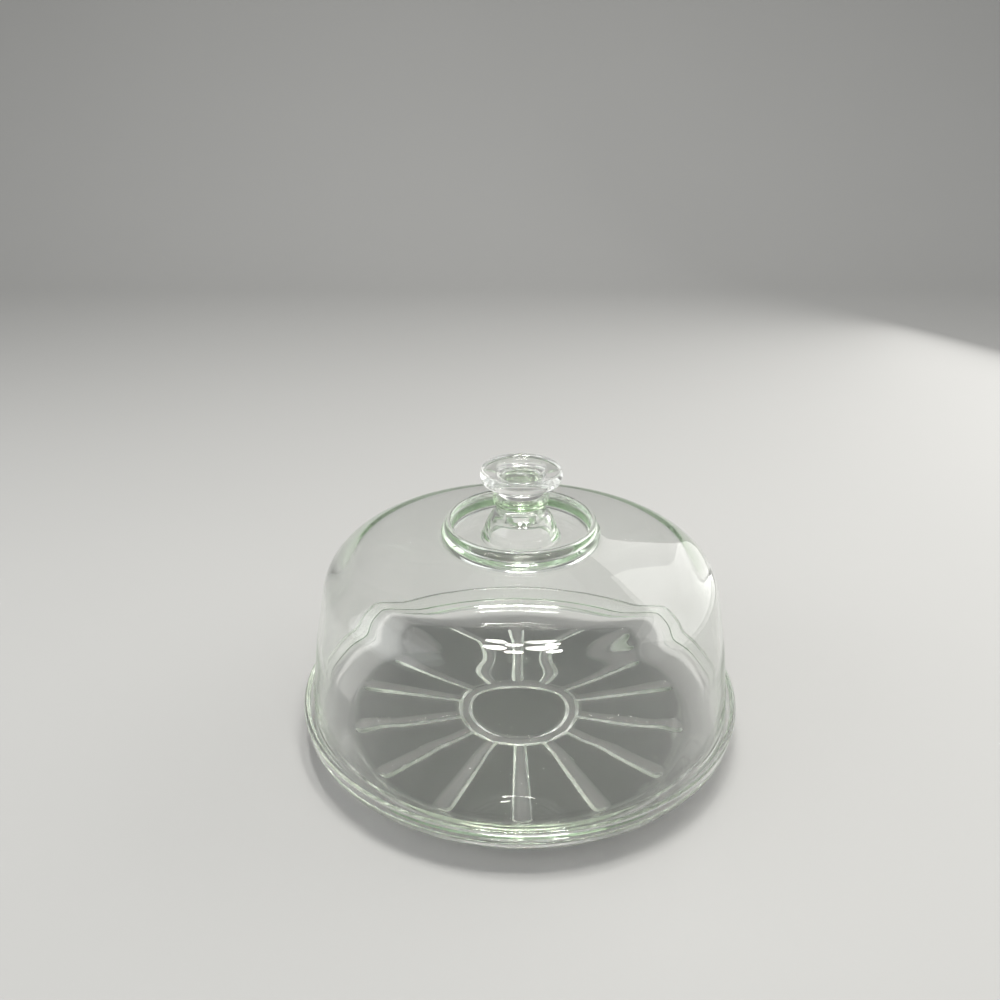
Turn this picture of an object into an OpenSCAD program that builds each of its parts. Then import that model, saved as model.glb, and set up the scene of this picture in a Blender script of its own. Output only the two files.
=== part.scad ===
// Covered cake plate: a low-footed glass plate, a lift-off glass dome and the
// clear knob that is bonded on the dome's hollow stem.
// Millimetres, +Z up. The origin is the centre of the foot's flat underside.

/* [Cake plate] */
// Outer diameter of the plate's rim
plate_d = 330; // [326:1:338]
// Height of the lip above the table
plate_h = 33.6; // [33:0.2:37]
// Width of the raised lip
lip_w = 4.5; // [4:0.25:5]
// Height of the shelf that carries the dome
shelf_z = 24; // [22:0.5:26]
// Height of the cake floor's upper face
floor_z = 10.5; // [9.5:0.5:12]
// Diameter of the flat cake floor
floor_d = 262; // [250:2:268]
// Glass thickness of the plate
plate_t = 5.5; // [4.5:0.5:6]

/* [Foot and ribs] */
// Sides of the foot, with one rib at every corner
foot_sides = 14; // [10:1:18]
// Distance across opposite corners of the foot
foot_d = 91; // [88:1:96]
// Bevel round the foot, measured outwards
foot_bevel = 2.5; // [1:0.5:3]
// Diameter of the round recess under the foot
recess_d = 76.6; // [64:0.2:78]
// Depth of the round recess
recess_depth = 4; // [2:0.5:4.5]
// Radius at which the ribs end
rib_end_r = 130; // [110:1:131]
// Width of a rib beside the foot
rib_in_w = 8; // [6:0.5:10]
// Width of a rib at its round outer end
rib_out_w = 14; // [10:0.5:16]
// How far a rib stands below the plate's underside
rib_h = 2.4; // [1.5:0.1:3]

/* [Dome] */
// Outer diameter of the dome's base
dome_d = 317.6; // [314:0.2:318]
// Diameter of the wall at mid height
dome_mid_d = 304; // [300:0.5:306]
// Diameter at which the wall and the top would meet
shoulder_d = 281.6; // [276:0.2:286]
// Height at which the wall and the top would meet
shoulder_z = 141.9; // [140:0.1:145]
// Radius of the rounded shoulder
shoulder_r = 30; // [24:1:34]
// Radius of the inside shoulder beside the top
shoulder_in_r = 29.4; // [24:0.2:31]
// Radius of the inside shoulder beside the wall
wall_in_r = 23.6; // [18:0.1:25]
// Glass thickness of the dome
dome_t = 4.5; // [4:0.25:5.5]

/* [Top ring and stem] */
// Outer diameter of the raised ring
ring_d = 110.4; // [108:0.2:113]
// Width of the raised ring
ring_w = 4.6; // [4.2:0.1:5.4]
// Height of the ring's upper edge
ring_z = 171.5; // [170:0.25:173]
// Height of the dome's surface beside the ring
ring_foot_z = 163.1; // [162:0.1:164.5]
// Height of the floor inside the ring
well_z = 158.6; // [157.5:0.1:160]
// Diameter of the hollow stem near its base
stem_d = 53; // [50:0.5:54]
// Height of the underside of the collar
collar_z = 184.8; // [183:0.2:186]
// Diameter of the collar
collar_d = 40.6; // [38:0.2:42]
// Height of the collar's flat upper face
collar_top = 191.4; // [190.4:0.2:193]

/* [Knob] */
// Diameter of the knob's disc
knob_d = 58; // [54:0.5:62]
// Height of the knob above the collar
knob_h = 19.2; // [18:0.2:21]
// Diameter of the knob's neck
neck_d = 32.8; // [31:0.2:35]
// Diameter of the shallow dish in the top
dish_d = 32; // [24:0.5:34]
// Depth of the shallow dish
dish_depth = 4; // [2:0.25:5]

/* [Hidden] */
$fn = 120;

plate_r = plate_d / 2;
lip_r = plate_r - lip_w;
floor_r = floor_d / 2;
shelf_r = plate_r - 18;
under_z = floor_z - plate_t;
foot_r = foot_d / 2;
recess_r = recess_d / 2;

dome_r = dome_d / 2;
mid_r = dome_mid_d / 2;
mid_z = 82;
shoulder_x = shoulder_d / 2;
ring_r = ring_d / 2;
stem_r = stem_d / 2;
collar_r = collar_d / 2;

knob_r = knob_d / 2;
neck_r = neck_d / 2;
dish_r = dish_d / 2;
knob_top = collar_top + knob_h;

// Unit vector along v
function unit(v) = v / norm(v);

// Points of the arc of radius r that rounds corner c between p and n
function corner(p, c, n, r) =
    r <= 0 ? [c] :
    let (u = unit(p - c), v = unit(n - c),
         h = acos(u * v) / 2,
         t = r / tan(h),
         o = c + unit(u + v) * r / sin(h),
         s = c + u * t - o, e = c + v * t - o,
         a = atan2(s.y, s.x), b = atan2(e.y, e.x),
         d = (b - a + 540) % 360 - 180,
         k = max(2, ceil(abs(d) / 14)))
    [for (i = [0 : k]) o + r * [cos(a + d * i / k), sin(a + d * i / k)]];

// Outline through [x, y, corner radius] points
function outline(q) =
    let (n = len(q))
    [for (i = [0 : n - 1])
        each corner([q[(i + n - 1) % n].x, q[(i + n - 1) % n].y],
                    [q[i].x, q[i].y],
                    [q[(i + 1) % n].x, q[(i + 1) % n].y], q[i].z)];

// Corners of a regular polygon, with one corner on -Y
function ngon(n, r) = [for (i = [0 : n - 1]) r * [sin(360 * i / n), -cos(360 * i / n)]];

// Solid of revolution of a half outline
module turned(q) {
    rotate_extrude() polygon(outline(q));
}

// Half outline of the plate without its foot: cake floor, slope, shelf and lip
plate_outline = [
    [0, under_z, 0],
    [floor_r + 1, under_z, 8],
    [shelf_r + 1, shelf_z - plate_t, 8],
    [plate_r - 1.5, shelf_z - plate_t + 0.5, 3],
    [plate_r, plate_h - 4, 0.6],
    [plate_r, plate_h, 2.2],
    [lip_r + 0.3, plate_h, 2.1],
    [lip_r, shelf_z, 0.8],
    [shelf_r, shelf_z, 5],
    [floor_r, floor_z, 8],
    [0, floor_z, 0]];

// One rounded bar under the plate, running outwards along -Y
module rib() {
    r_end = rib_out_w / 2;
    y_end = rib_end_r - r_end;
    translate([0, 0, under_z - rib_h])
        linear_extrude(rib_h + 0.6)
            union() {
                polygon([[-rib_in_w / 2, -foot_r + 2], [rib_in_w / 2, -foot_r + 2],
                         [r_end, -y_end], [-r_end, -y_end]]);
                translate([0, -y_end]) circle(r_end, $fn = 48);
            }
}

// Many-sided foot: a straight contact pad with a bevel above it
module foot() {
    linear_extrude(under_z + 0.5) polygon(ngon(foot_sides, foot_r));
    translate([0, 0, under_z - foot_bevel])
        linear_extrude(foot_bevel + 0.3, scale = (foot_r + foot_bevel) / foot_r)
            polygon(ngon(foot_sides, foot_r));
}

// Pressed plate: lip, dome shelf, slope, cake floor, ribs and foot
module cake_plate() {
    color([0.80, 0.90, 0.83, 0.55])
    difference() {
        union() {
            turned(plate_outline);
            foot();
            for (i = [0 : foot_sides - 1])
                rotate(360 * i / foot_sides) rib();
        }
        // Round recess under the foot
        turned([[0, -1, 0], [recess_r + 0.6, -1, 0], [recess_r + 0.6, 0, 0],
                [recess_r, 0.6, 0], [recess_r, recess_depth, 1.2], [0, recess_depth, 0]]);
    }
}

// Half outline of the dome: wall, shoulder, top, raised ring, well, stem and
// collar on the outside; the same wall and the hollow of the stem on the inside
dome_outline = [
    [dome_r, shelf_z, 1.2],
    [dome_r - 0.4, shelf_z + 7, 12],
    [mid_r, mid_z, 120],
    [shoulder_x, shoulder_z, shoulder_r],
    [ring_r + 1.9, ring_foot_z + 0.4, 1.4],
    [ring_r, ring_foot_z + 2.8, 1],
    [ring_r - 1, ring_z, 1.5],
    [ring_r - ring_w, ring_z, 1.4],
    [ring_r - ring_w - 1.2, well_z, 4],
    [stem_r + 1.6, well_z, 3],
    [stem_r - 0.6, collar_z - 18.2, 10],
    [stem_r - 5.2, collar_z - 9.2, 6],
    [stem_r - 9.4, collar_z - 7.2, 5],
    [stem_r - 9.4, collar_z, 0.8],
    [collar_r - 0.6, collar_z, 1.2],
    [collar_r, collar_top - 2.4, 2.2],
    [collar_r - 2.2, collar_top, 1],
    [0, collar_top, 0],
    [0, collar_z + 1.2, 0],
    [stem_r - 13.7, collar_z + 1.2, 3],
    [stem_r - 13.7, collar_z - 10.6, 5],
    [stem_r - 8.5, collar_z - 12.8, 6],
    [stem_r - 4.8, collar_z - 20, 10],
    [stem_r - 3, well_z - dome_t, 4],
    [ring_r - ring_w - 3, well_z - dome_t, 6],
    [ring_r + 3, ring_foot_z - dome_t - 2.6, 24],
    [shoulder_x - dome_t - 12.4, shoulder_z - dome_t + 5.3, shoulder_in_r],
    [shoulder_x - dome_t + 2.5, shoulder_z - dome_t - 10.3, wall_in_r],
    [mid_r - dome_t, mid_z, 120],
    [dome_r - dome_t - 1, shelf_z + 7, 12],
    [dome_r - dome_t - 1, shelf_z, 1.2]];

// Blown-and-pressed dome in one piece of glass with its ring, stem and collar
module dome() {
    color([0.78, 0.90, 0.81, 0.40]) turned(dome_outline);
}

// Solid clear knob: stepped foot, neck, thick round disc and a shallow dish
module knob() {
    color([0.90, 0.93, 0.93, 0.60])
    turned([
        [0, collar_top, 0],
        [neck_r - 0.6, collar_top, 0.5],
        [neck_r + 0.5, collar_top + 1.3, 0.9],
        [neck_r - 0.3, collar_top + 2.6, 0.5],
        [neck_r, collar_top + 7.6, 1.8],
        [knob_r - 1, knob_top - 10.2, 3.4],
        [knob_r + 0.2, knob_top - 5, 4],
        [knob_r - 0.6, knob_top, 1.5],
        [dish_r + 1.5, knob_top, 2],
        [dish_r - 2.5, knob_top - dish_depth, 3],
        [0, knob_top - dish_depth, 0]]);
}

cake_plate();
dome();
knob();
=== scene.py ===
import math
import bpy
import numpy as np
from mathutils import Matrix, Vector


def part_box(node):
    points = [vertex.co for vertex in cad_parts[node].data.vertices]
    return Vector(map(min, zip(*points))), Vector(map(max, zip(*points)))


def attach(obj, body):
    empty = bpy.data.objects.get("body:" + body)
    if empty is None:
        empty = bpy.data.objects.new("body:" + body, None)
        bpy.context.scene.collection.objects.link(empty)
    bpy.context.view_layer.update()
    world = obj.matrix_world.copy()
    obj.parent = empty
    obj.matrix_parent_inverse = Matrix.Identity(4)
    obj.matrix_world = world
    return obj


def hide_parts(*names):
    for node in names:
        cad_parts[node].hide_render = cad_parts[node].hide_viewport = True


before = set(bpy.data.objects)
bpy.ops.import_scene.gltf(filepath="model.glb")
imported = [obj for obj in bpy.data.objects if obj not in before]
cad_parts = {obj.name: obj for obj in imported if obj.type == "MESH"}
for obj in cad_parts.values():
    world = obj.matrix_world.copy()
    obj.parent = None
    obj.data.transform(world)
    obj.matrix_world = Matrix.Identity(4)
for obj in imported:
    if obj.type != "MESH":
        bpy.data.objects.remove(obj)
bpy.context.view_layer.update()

scene = bpy.context.scene
MM = 0.001

# ---------------------------------------------------------------- camera
cam_data = bpy.data.cameras.new("camera")
cam_data.sensor_width = 36.0
cam_data.lens = 33.26
cam_data.clip_start = 0.01
camera = bpy.data.objects.new("camera", cam_data)
camera.location = (-0.0150, -0.5990, 0.4600)
camera.rotation_euler = (math.radians(90 - 24.6), 0, 0)
scene.collection.objects.link(camera)
scene.camera = camera

# ---------------------------------------------------------------- dimensions, from the frame
plate_lo, plate_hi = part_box("cake_plate")
dome_lo, dome_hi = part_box("dome")
knob_lo, knob_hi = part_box("knob")
PLATE_R = plate_hi.x / MM                    # 165
PLATE_H = plate_hi.z / MM                    # 33.6
SHELF_Z = dome_lo.z / MM                     # 24
COLLAR_TOP = knob_lo.z / MM                  # 191.4
KNOB_TOP = knob_hi.z / MM                    # 210.6
LIP_R = PLATE_R - 4.5
SHELF_R = PLATE_R - 18
FLOOR_R = 131.0
FLOOR_Z = 10.5
UNDER_Z = 5.0
FOOT_R = 45.5
RECESS_R = 38.3
RECESS_Z = 4.0
SIDES = 14
DOME_R = 158.8
RING_R = 55.2
RING_W = 4.6
RING_Z = 171.5
RING_FOOT_Z = 163.1
WELL_Z = 158.6
STEM_R = 26.5
COLLAR_Z = 184.8
COLLAR_R = 20.3
T = 4.5


# ---------------------------------------------------------------- profiles
def unit(v):
    return v / np.linalg.norm(v)


def corner(p, c, n, r, step=3.0):
    if r <= 0:
        return [c]
    u, v = unit(p - c), unit(n - c)
    h = math.acos(max(-1, min(1, float(u @ v)))) / 2
    t = r / math.tan(h)
    o = c + unit(u + v) * r / math.sin(h)
    s, e = c + u * t - o, c + v * t - o
    a, b = math.atan2(s[1], s[0]), math.atan2(e[1], e[0])
    d = (b - a + 3 * math.pi) % (2 * math.pi) - math.pi
    k = max(3, int(math.ceil(abs(math.degrees(d)) / step)))
    return [o + r * np.array([math.cos(a + d * i / k), math.sin(a + d * i / k)]) for i in range(k + 1)]


def path(q):
    """Open polyline through [r, z, corner radius] points."""
    q = [np.array(x, float) for x in q]
    out = [q[0][:2]]
    for i in range(1, len(q) - 1):
        out += corner(q[i - 1][:2], q[i][:2], q[i + 1][:2], q[i][2])
    out.append(q[-1][:2])
    return np.array(out)


def resample(p, step):
    d = np.r_[0, np.cumsum(np.linalg.norm(np.diff(p, axis=0), axis=1))]
    n = max(2, int(d[-1] / step))
    s = np.linspace(0, d[-1], n + 1)
    return np.stack([np.interp(s, d, p[:, 0]), np.interp(s, d, p[:, 1])], 1)


def soften(p, sigma, step=0.2):
    """Rounds a profile the way fire-polished glass is rounded: a Gaussian blur along its length, mirrored at the axis."""
    p = resample(p, step)
    k = int(4 * sigma / step)
    w = np.exp(-0.5 * (np.arange(-k, k + 1) * step / sigma) ** 2)
    w /= w.sum()
    flip = np.array([-1.0, 1.0])
    head, tail = p[1:k + 1][::-1] * flip, p[-k - 1:-1][::-1] * flip
    q = np.vstack([head, p, tail])
    out = np.stack([np.convolve(q[:, i], w, "valid") for i in (0, 1)], 1)
    out[0, 0] = out[-1, 0] = 0.0
    return out


def thin(p, max_deg=4.0, max_len=4.0):
    """Keeps the points of a fine profile where it has turned or run far enough."""
    t = np.diff(p, axis=0)
    a = np.unwrap(np.arctan2(t[:, 1], t[:, 0]))
    keep, last_a, run = [0], a[0], 0.0
    for i in range(1, len(p) - 1):
        run += np.linalg.norm(t[i - 1])
        if abs(math.degrees(a[i] - last_a)) >= max_deg or run >= max_len:
            keep.append(i)
            last_a, run = a[i], 0.0
    keep.append(len(p) - 1)
    return p[keep]


# ---------------------------------------------------------------- meshes
def grid_mesh(name, R, Z, TH, body, node):
    """A closed surface from rings of points; R, Z are rings x angles in mm and TH the angles. The first and last ring close on the axis."""
    nr, na = R.shape
    x = R * np.cos(TH)[None] * MM
    y = R * np.sin(TH)[None] * MM
    co = np.stack([x, y, Z * MM], -1).reshape(-1, 3)
    top = np.array([[0, 0, Z[0].mean() * MM]])
    bot = np.array([[0, 0, Z[-1].mean() * MM]])
    inner = co[na:-na]
    verts = np.vstack([top, inner, bot])
    faces = []
    rings = nr - 2

    def vid(i, j):
        return 1 + i * na + (j % na)
    for j in range(na):
        faces.append((0, vid(0, j), vid(0, j + 1)))
    for i in range(rings - 1):
        for j in range(na):
            faces.append((vid(i, j), vid(i + 1, j), vid(i + 1, j + 1), vid(i, j + 1)))
    last = len(verts) - 1
    for j in range(na):
        faces.append((vid(rings - 1, j), last, vid(rings - 1, j + 1)))
    me = bpy.data.meshes.new(name)
    me.from_pydata([tuple(v) for v in verts], [], faces)
    me.validate()
    me.polygons.foreach_set("use_smooth", [True] * len(me.polygons))
    me.update()
    ob = bpy.data.objects.new(name, me)
    scene.collection.objects.link(ob)
    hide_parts(node)
    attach(ob, body)
    return ob


def lathe(name, profile, count, body, node):
    TH = np.arange(count) * 2 * math.pi / count
    R = np.repeat(profile[:, :1], count, 1)
    Z = np.repeat(profile[:, 1:], count, 1)
    return grid_mesh(name, R, Z, TH, body, node)


# dome: from the collar's top outwards and down to the base, then up the inside to the hollow of the stem
dome_path = path([
    (0, COLLAR_TOP - 0.06, 0),
    (COLLAR_R - 2.2, COLLAR_TOP - 0.06, 1),
    (COLLAR_R, COLLAR_TOP - 2.4, 2.2),
    (COLLAR_R - 0.6, COLLAR_Z, 1.2),
    (STEM_R - 9.4, COLLAR_Z, 0.8),
    (STEM_R - 9.4, COLLAR_Z - 7.2, 5),
    (STEM_R - 5.2, COLLAR_Z - 9.2, 6),
    (STEM_R - 0.6, COLLAR_Z - 18.2, 10),
    (STEM_R + 1.6, WELL_Z, 3),
    (RING_R - RING_W - 1.2, WELL_Z, 4),
    (RING_R - RING_W, RING_Z, 1.4),
    (RING_R - 1, RING_Z, 1.5),
    (RING_R, RING_FOOT_Z + 2.8, 1),
    (RING_R + 1.9, RING_FOOT_Z + 0.4, 1.4),
    (140.8, 141.9, 30),
    (152, 82, 120),
    (DOME_R - 0.4, SHELF_Z + 7, 12),
    (DOME_R, SHELF_Z + 0.05, 1.6),
    (DOME_R - T - 1, SHELF_Z + 0.05, 1.6),
    (DOME_R - T - 1, SHELF_Z + 7, 12),
    (152 - T, 82, 120),
    (140.8 - T + 2.5, 141.9 - T - 10.3, 23.6),
    (140.8 - T - 12.4, 141.9 - T + 5.3, 29.4),
    (RING_R + 1.2, RING_FOOT_Z - T - 1.9, 20),
    (RING_R - RING_W - 3, WELL_Z - T, 6),
    (STEM_R - 3, WELL_Z - T, 4),
    (STEM_R - 4.8, COLLAR_Z - 20, 10),
    (STEM_R - 8.5, COLLAR_Z - 12.8, 6),
    (STEM_R - 13.7, COLLAR_Z - 10.6, 5),
    (STEM_R - 13.7, COLLAR_Z + 1.2, 3),
    (0, COLLAR_Z + 1.2, 0)])


def relax(p, sigma, step=0.2):
    """Lets the dome's shoulder flow, inside and out, so that arcs and straights run into each other as blown glass does."""
    k = int(3 * sigma / step)
    w = np.exp(-0.5 * (np.arange(-k, k + 1) * step / sigma) ** 2)
    w /= w.sum()
    q = np.stack([np.convolve(np.pad(p[:, i], (k, k), "edge"), w, "valid") for i in (0, 1)], 1)
    zone = np.clip((p[:, 1] - 95) / 10, 0, 1) * np.clip((p[:, 0] - 72) / 10, 0, 1)
    return p + (q - p) * zone[:, None]


dome = lathe("dome_shell", thin(relax(soften(dome_path, 0.5), 3.2), 3.6, 4.0), 264, "cover", "dome")

NECK_R = 16.4
KR = 29.0
DISH_R = 16.0
knob_path = path([
    (0, COLLAR_TOP + 0.06, 0),
    (NECK_R - 0.6, COLLAR_TOP + 0.06, 0.5),
    (NECK_R + 0.5, COLLAR_TOP + 1.3, 0.9),
    (NECK_R - 0.3, COLLAR_TOP + 2.6, 0.5),
    (NECK_R, COLLAR_TOP + 7.6, 1.8),
    (KR - 1, KNOB_TOP - 10.2, 3.4),
    (KR + 0.2, KNOB_TOP - 5, 4),
    (KR - 0.6, KNOB_TOP, 1.5),
    (DISH_R + 1.5, KNOB_TOP, 2),
    (DISH_R - 2.5, KNOB_TOP - 4, 3),
    (2.5, KNOB_TOP - 4, 0.5),
    (0, KNOB_TOP - 3.2, 0)])
knob = lathe("knob_solid", thin(soften(knob_path[::-1], 0.3), 4, 2.5), 192, "cover", "knob")

# plate: upper face, lip and rim as turned rings, then the underside with its ribs and foot
plate_top = soften(path([
    (0, FLOOR_Z, 0),
    (FLOOR_R, FLOOR_Z, 8),
    (SHELF_R, SHELF_Z, 5),
    (LIP_R, SHELF_Z, 0.8),
    (LIP_R + 0.3, PLATE_H, 2.1),
    (PLATE_R, PLATE_H, 2.2),
    (PLATE_R, PLATE_H - 4, 0.6),
    (PLATE_R - 1.5, SHELF_Z - 5, 3),
    (SHELF_R + 1, SHELF_Z - 5.5, 8),
    (FLOOR_R + 1, UNDER_Z, 8),
    (0, UNDER_Z, 0)]), 0.4)
i0 = int(np.where(plate_top[:, 0] > 150)[0][-1])
outer = thin(plate_top[:i0 + 1], 5, 4)
under = plate_top[i0:]

half = [0, 0.9, 1.7] + list(np.arange(2.3, 5.61, 0.36)) + [6.4, 7.5, 9.2, 11.0, 12.857142857]
sector = np.array([-a for a in half[::-1]] + half[1:-1])
TH = np.radians(np.concatenate([-90 + k * 360 / SIDES + sector for k in range(SIDES)]))
NA = len(TH)


def ngon_radius(th, r):
    w = 2 * math.pi / SIDES
    d = (th + math.pi / 2 + w / 2) % w - w / 2          # angle from the nearest corner
    exact = r * math.cos(w / 2) / np.cos(w / 2 - np.abs(d))
    return exact - 0.25 * np.exp(-(np.abs(d) * r / 0.8) ** 2)


def rib(r, th):
    """0 to 1: how much of the rib's height stands at this point of the underside."""
    w = 2 * math.pi / SIDES
    d = (th + math.pi / 2 + w / 2) % w - w / 2
    along, off = r * np.cos(d), np.abs(r * np.sin(d))
    t = np.clip((along - 44) / (124 - 44), 0, 1)
    hw = 4.4 + 3.0 * t
    end = 122.6
    q = np.where(along > end, np.hypot(along - end, off), off) / hw
    q = np.clip(q, 0, 1)
    return (1 - q ** 2) ** 0.85


rings_r, rings_z = [], []
for r, z in outer:
    rings_r.append(np.full(NA, r)); rings_z.append(np.full(NA, z))
r_from = outer[-1, 0]
for s in np.r_[np.linspace(1, 0.9, 7)[1:], np.linspace(0.9, 0.02, 58)[1:]]:
    inner_edge = ngon_radius(TH, FOOT_R + 3.6)
    r = inner_edge + (r_from - inner_edge) * s
    base = np.interp(r, under[::-1, 0], under[::-1, 1])
    rings_r.append(r)
    rings_z.append(base - 2.4 * rib(r, TH))


def foot_ring(dr, z, ribbed=True):
    r = ngon_radius(TH, FOOT_R) + dr
    h = z
    if ribbed:
        k = rib(r, TH)
        h = np.minimum(z, UNDER_Z - 2.4 * k)
    rings_r.append(r); rings_z.append(np.zeros(NA) + h)


for dr, z in ((3.4, 4.97), (3.1, 4.85), (2.8, 4.55), (2.55, 4.1), (2.3, 3.5), (2.0, 2.85), (1.6, 2.15), (1.15, 1.5), (0.7, 0.95), (0.2, 0.5), (-0.3, 0.18), (-0.9, 0.03), (-1.4, 0.0)):
    foot_ring(dr, z)
for r, z in ((40.4, 0.0), (40.0, 0.02), (39.6, 0.12), (39.25, 0.34), (38.95, 0.68), (38.7, 1.12), (38.5, 1.65), (38.3, 2.2), (38.05, 2.72), (37.75, 3.16), (37.4, 3.52), (37.0, 3.79), (36.5, 3.95), (36.0, 4.0), (30, 4.0), (20, 4.0), (10, 4.0), (0, 4.0)):
    rings_r.append(np.full(NA, r)); rings_z.append(np.full(NA, z))
plate = grid_mesh("plate_pressed", np.array(rings_r), np.array(rings_z), TH, "plate", "cake_plate")

# how much each point of the plate belongs to its pressed relief: the ribs, the foot's bevel and the recess wall
co = np.array([v.co[:] for v in plate.data.vertices]) / MM
vr, vth, vz = np.hypot(co[:, 0], co[:, 1]), np.arctan2(co[:, 1], co[:, 0]), co[:, 2]
facet = ngon_radius(vth, FOOT_R)
relief = np.where((vz < 6) & (vr > facet + 3.5) & (vr < 131), np.clip(rib(vr, vth) * 3, 0, 1), 0.0)
relief = np.where((vz < 4.9) & (vr > facet - 1.0) & (vr < facet + 3.2), 1.0, relief)
relief = np.where((vz < 4.05) & (vr > 36.6) & (vr < 40.1), 1.0, relief)
att = plate.data.attributes.new("relief", "FLOAT", "POINT")
att.data.foreach_set("value", relief.astype(np.float32))
# and how much painted shade each point takes: the thin glass between the relief and the disc over the recess are
# painted darker
painted_shade_gap = np.where((vz < 6.5) & (vr > facet + 3.5) & (vr < 133), 1 - np.clip(rib(vr, vth) * 4, 0, 1), 0.0)
painted_shade_gap = painted_shade_gap * np.clip((134 - vr) / 8, 0, 1)
painted_shade_gap = np.where((vz < 4.05) & (vr < 36.6), 1.0, painted_shade_gap)
att = plate.data.attributes.new("painted_shade_gap", "FLOAT", "POINT")
att.data.foreach_set("value", painted_shade_gap.astype(np.float32))


# ---------------------------------------------------------------- materials
def glass(name, tint, absorb, density, smear=0.02, wave=0.00008, wave_scale=14.0, bands=(), painted_gap_shade_colour=None):
    m = bpy.data.materials.new(name)
    m.use_nodes = True
    nt = m.node_tree
    p = nt.nodes["Principled BSDF"]
    out = nt.nodes["Material Output"]
    p.inputs["Transmission Weight"].default_value = 1.0
    p.inputs["IOR"].default_value = 1.5
    tc = nt.nodes.new("ShaderNodeTexCoord")
    # colour: nearly clear, with very faint darker streaks as in pressed glass
    n1 = nt.nodes.new("ShaderNodeTexNoise")
    n1.inputs["Scale"].default_value = 9.0
    n1.inputs["Detail"].default_value = 3.0
    r1 = nt.nodes.new("ShaderNodeValToRGB")
    r1.color_ramp.elements[0].position = 0.3
    r1.color_ramp.elements[0].color = (*tint, 1)
    r1.color_ramp.elements[1].position = 0.7
    r1.color_ramp.elements[1].color = (*[min(1, c + 0.012) for c in tint], 1)
    nt.links.new(tc.outputs["Object"], n1.inputs["Vector"])
    nt.links.new(n1.outputs["Fac"], r1.inputs["Fac"])
    colour = r1.outputs["Color"]
    if bands:
        # solid places such as the collar hold a deeper tint: [height in metres, colour] steps up the axis
        sep = nt.nodes.new("ShaderNodeSeparateXYZ")
        nt.links.new(tc.outputs["Object"], sep.inputs["Vector"])
        mr = nt.nodes.new("ShaderNodeMapRange")
        mr.inputs["From Min"].default_value = bands[0][0]
        mr.inputs["From Max"].default_value = bands[-1][0]
        nt.links.new(sep.outputs["Z"], mr.inputs["Value"])
        rb = nt.nodes.new("ShaderNodeValToRGB")
        span = bands[-1][0] - bands[0][0]
        rb.color_ramp.elements[0].color = (*bands[0][1], 1)
        rb.color_ramp.elements[1].color = (*bands[-1][1], 1)
        for h, c in bands[1:-1]:
            rb.color_ramp.elements.new((h - bands[0][0]) / span).color = (*c, 1)
        nt.links.new(mr.outputs["Result"], rb.inputs["Fac"])
        mx = nt.nodes.new("ShaderNodeMix")
        mx.data_type = "RGBA"
        mx.blend_type = "MULTIPLY"
        mx.inputs["Factor"].default_value = 1.0
        nt.links.new(colour, mx.inputs[6])
        nt.links.new(rb.outputs["Color"], mx.inputs[7])
        colour = mx.outputs[2]
    if painted_gap_shade_colour:
        # painted shade: the thin glass between the pressed relief, and the disc over the recess, are darkened in colour
        # so the ribs read paler, standing in for the light the ribs bend and focus
        at = nt.nodes.new("ShaderNodeAttribute")
        at.attribute_name = "relief"
        ag = nt.nodes.new("ShaderNodeAttribute")
        ag.attribute_name = "painted_shade_gap"
        rf = nt.nodes.new("ShaderNodeValToRGB")
        rf.color_ramp.elements[0].color = (1, 1, 1, 1)
        rf.color_ramp.elements[1].color = (*painted_gap_shade_colour, 1)
        nt.links.new(ag.outputs["Fac"], rf.inputs["Fac"])
        mf = nt.nodes.new("ShaderNodeMix")
        mf.data_type = "RGBA"
        mf.blend_type = "MULTIPLY"
        mf.inputs["Factor"].default_value = 1.0
        nt.links.new(colour, mf.inputs[6])
        nt.links.new(rf.outputs["Color"], mf.inputs[7])
        colour = mf.outputs[2]
    nt.links.new(colour, p.inputs["Base Color"])
    # roughness: polished, with faint wiped smears and specks
    n2 = nt.nodes.new("ShaderNodeTexNoise")
    n2.inputs["Scale"].default_value = 22.0
    n2.inputs["Detail"].default_value = 6.0
    n2.inputs["Roughness"].default_value = 0.65
    n2.inputs["Distortion"].default_value = 1.2
    r2 = nt.nodes.new("ShaderNodeValToRGB")
    r2.color_ramp.elements[0].position = 0.55
    r2.color_ramp.elements[0].color = (0.0, 0.0, 0.0, 1)
    r2.color_ramp.elements[1].position = 0.85
    r2.color_ramp.elements[1].color = (smear, smear, smear, 1)
    nt.links.new(tc.outputs["Object"], n2.inputs["Vector"])
    nt.links.new(n2.outputs["Fac"], r2.inputs["Fac"])
    rough = r2.outputs["Color"]
    if painted_gap_shade_colour:
        # and is a little softer, the way a mould leaves it
        ma = nt.nodes.new("ShaderNodeMath")
        ma.operation = "MULTIPLY_ADD"
        ma.inputs[1].default_value = 0.2
        nt.links.new(at.outputs["Fac"], ma.inputs[0])
        nt.links.new(rough, ma.inputs[2])
        rough = ma.outputs[0]
    nt.links.new(rough, p.inputs["Roughness"])
    # surface: the slow waviness of hand-finished glass
    n3 = nt.nodes.new("ShaderNodeTexNoise")
    n3.inputs["Scale"].default_value = wave_scale
    n3.inputs["Detail"].default_value = 1.5
    b = nt.nodes.new("ShaderNodeBump")
    b.inputs["Strength"].default_value = 1.0
    b.inputs["Distance"].default_value = wave
    nt.links.new(tc.outputs["Object"], n3.inputs["Vector"])
    nt.links.new(n3.outputs["Fac"], b.inputs["Height"])
    nt.links.new(b.outputs["Normal"], p.inputs["Normal"])
    v = nt.nodes.new("ShaderNodeVolumeAbsorption")
    v.inputs["Color"].default_value = (*absorb, 1)
    v.inputs["Density"].default_value = density
    nt.links.new(v.outputs["Volume"], out.inputs["Volume"])
    return m


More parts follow.
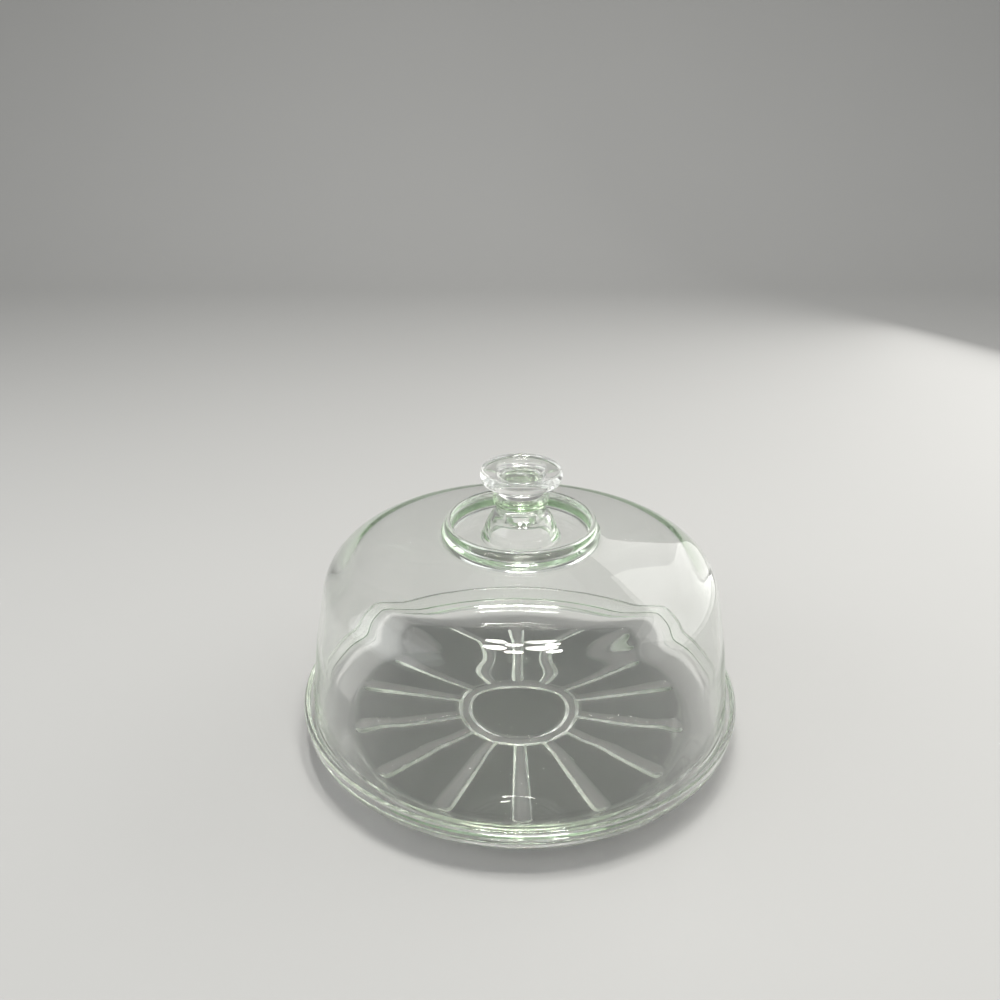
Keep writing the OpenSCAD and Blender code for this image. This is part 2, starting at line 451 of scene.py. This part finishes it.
CLEAR, GREEN = (1, 1, 1), (0.74, 0.93, 0.66)
dome.data.materials.append(glass(
    "dome_glass_look", (0.990, 0.993, 0.988), (0.50, 0.84, 0.42), 4.0, wave=0.00025,
    bands=((0.150, CLEAR), (0.1838, CLEAR), (0.1848, GREEN), (0.1900, GREEN), (0.1912, CLEAR))))
# the plate's glass between the ribs carries painted shade: a darker colour where the ribs are not
plate.data.materials.append(glass("plate_glass_look", (0.992, 0.993, 0.989), (0.60, 0.84, 0.48), 2.2, wave=0.0002, painted_gap_shade_colour=(0.52, 0.54, 0.515)))
knob.data.materials.append(glass("knob_glass_look", (0.994, 0.995, 0.992), (0.70, 0.84, 0.66), 1.5, wave=0.0001))

# ---------------------------------------------------------------- stage
def paper(name, colour):
    m = bpy.data.materials.new(name)
    m.use_nodes = True
    nt = m.node_tree
    p = nt.nodes["Principled BSDF"]
    p.inputs["Roughness"].default_value = 0.75
    tc = nt.nodes.new("ShaderNodeTexCoord")
    n = nt.nodes.new("ShaderNodeTexNoise")
    n.inputs["Scale"].default_value = 3.0
    n.inputs["Detail"].default_value = 8.0
    r = nt.nodes.new("ShaderNodeValToRGB")
    r.color_ramp.elements[0].color = (*[c * 0.97 for c in colour], 1)
    r.color_ramp.elements[1].color = (*colour, 1)
    nt.links.new(tc.outputs["Object"], n.inputs["Vector"])
    nt.links.new(n.outputs["Fac"], r.inputs["Fac"])
    nt.links.new(r.outputs["Color"], p.inputs["Base Color"])
    return m


def cyclorama():
    prof = [(-30.0, 0.0), (1.6, 0.0)]
    prof += [(1.6 + 0.8 * math.sin(math.radians(a)), 0.8 - 0.8 * math.cos(math.radians(a))) for a in range(5, 91, 5)]
    prof += [(2.4, 3.5)]
    verts = [(x, y, z - 0.0002) for y, z in prof for x in (-30.0, 30.0)]
    faces = [(2 * i, 2 * i + 1, 2 * i + 3, 2 * i + 2) for i in range(len(prof) - 1)]
    me = bpy.data.meshes.new("floor")
    me.from_pydata(verts, [], faces)
    me.polygons.foreach_set("use_smooth", [True] * len(faces))
    me.update()
    ob = bpy.data.objects.new("floor", me)
    scene.collection.objects.link(ob)
    me.materials.append(paper("floor_paper", (0.46, 0.46, 0.452)))
    return ob


cyclorama()


def area(name, loc, target, size, power, colour=(1, 1, 1), shape="RECTANGLE"):
    d = bpy.data.lights.new(name, "AREA")
    d.shape = shape
    d.size, d.size_y = size
    d.energy = power
    d.color = colour
    o = bpy.data.objects.new(name, d)
    o.location = loc
    o.rotation_euler = (Vector(target) - Vector(loc)).to_track_quat("-Z", "Y").to_euler()
    o.visible_camera = False
    scene.collection.objects.link(o)
    return o


area("key_right", (0.95, 0.5, 0.56), (0, 0, 0.1), (1.5, 1.1), 8.0, (1.0, 0.985, 0.96))
area("fill_left", (-1.25, -0.25, 0.72), (0, 0, 0.1), (1.3, 1.1), 5.0, (0.97, 0.985, 1.0))
for i, (x, y, w, h) in enumerate(((-0.21, 0.12, 0.21, 0.36), (-0.06, -0.20, 0.19, 0.22), (0.19, 0.12, 0.29, 0.40), (0.34, -0.20, 0.17, 0.20))):
    area("lamp_%d" % i, (x, y, 1.9), (x, y, 0), (w, h), 7.5, (1.0, 0.985, 0.95), "ELLIPSE")

world = bpy.data.worlds.new("studio")
world.use_nodes = True
bg = world.node_tree.nodes["Background"]
bg.inputs["Color"].default_value = (0.93, 0.935, 0.93, 1)
bg.inputs["Strength"].default_value = 0.55
scene.world = world

scene.view_settings.view_transform = "Standard"
scene.cycles.max_bounces = 48
scene.cycles.transmission_bounces = 40
scene.cycles.glossy_bounces = 40
scene.cycles.diffuse_bounces = 4
scene.cycles.sample_clamp_indirect = 0.0
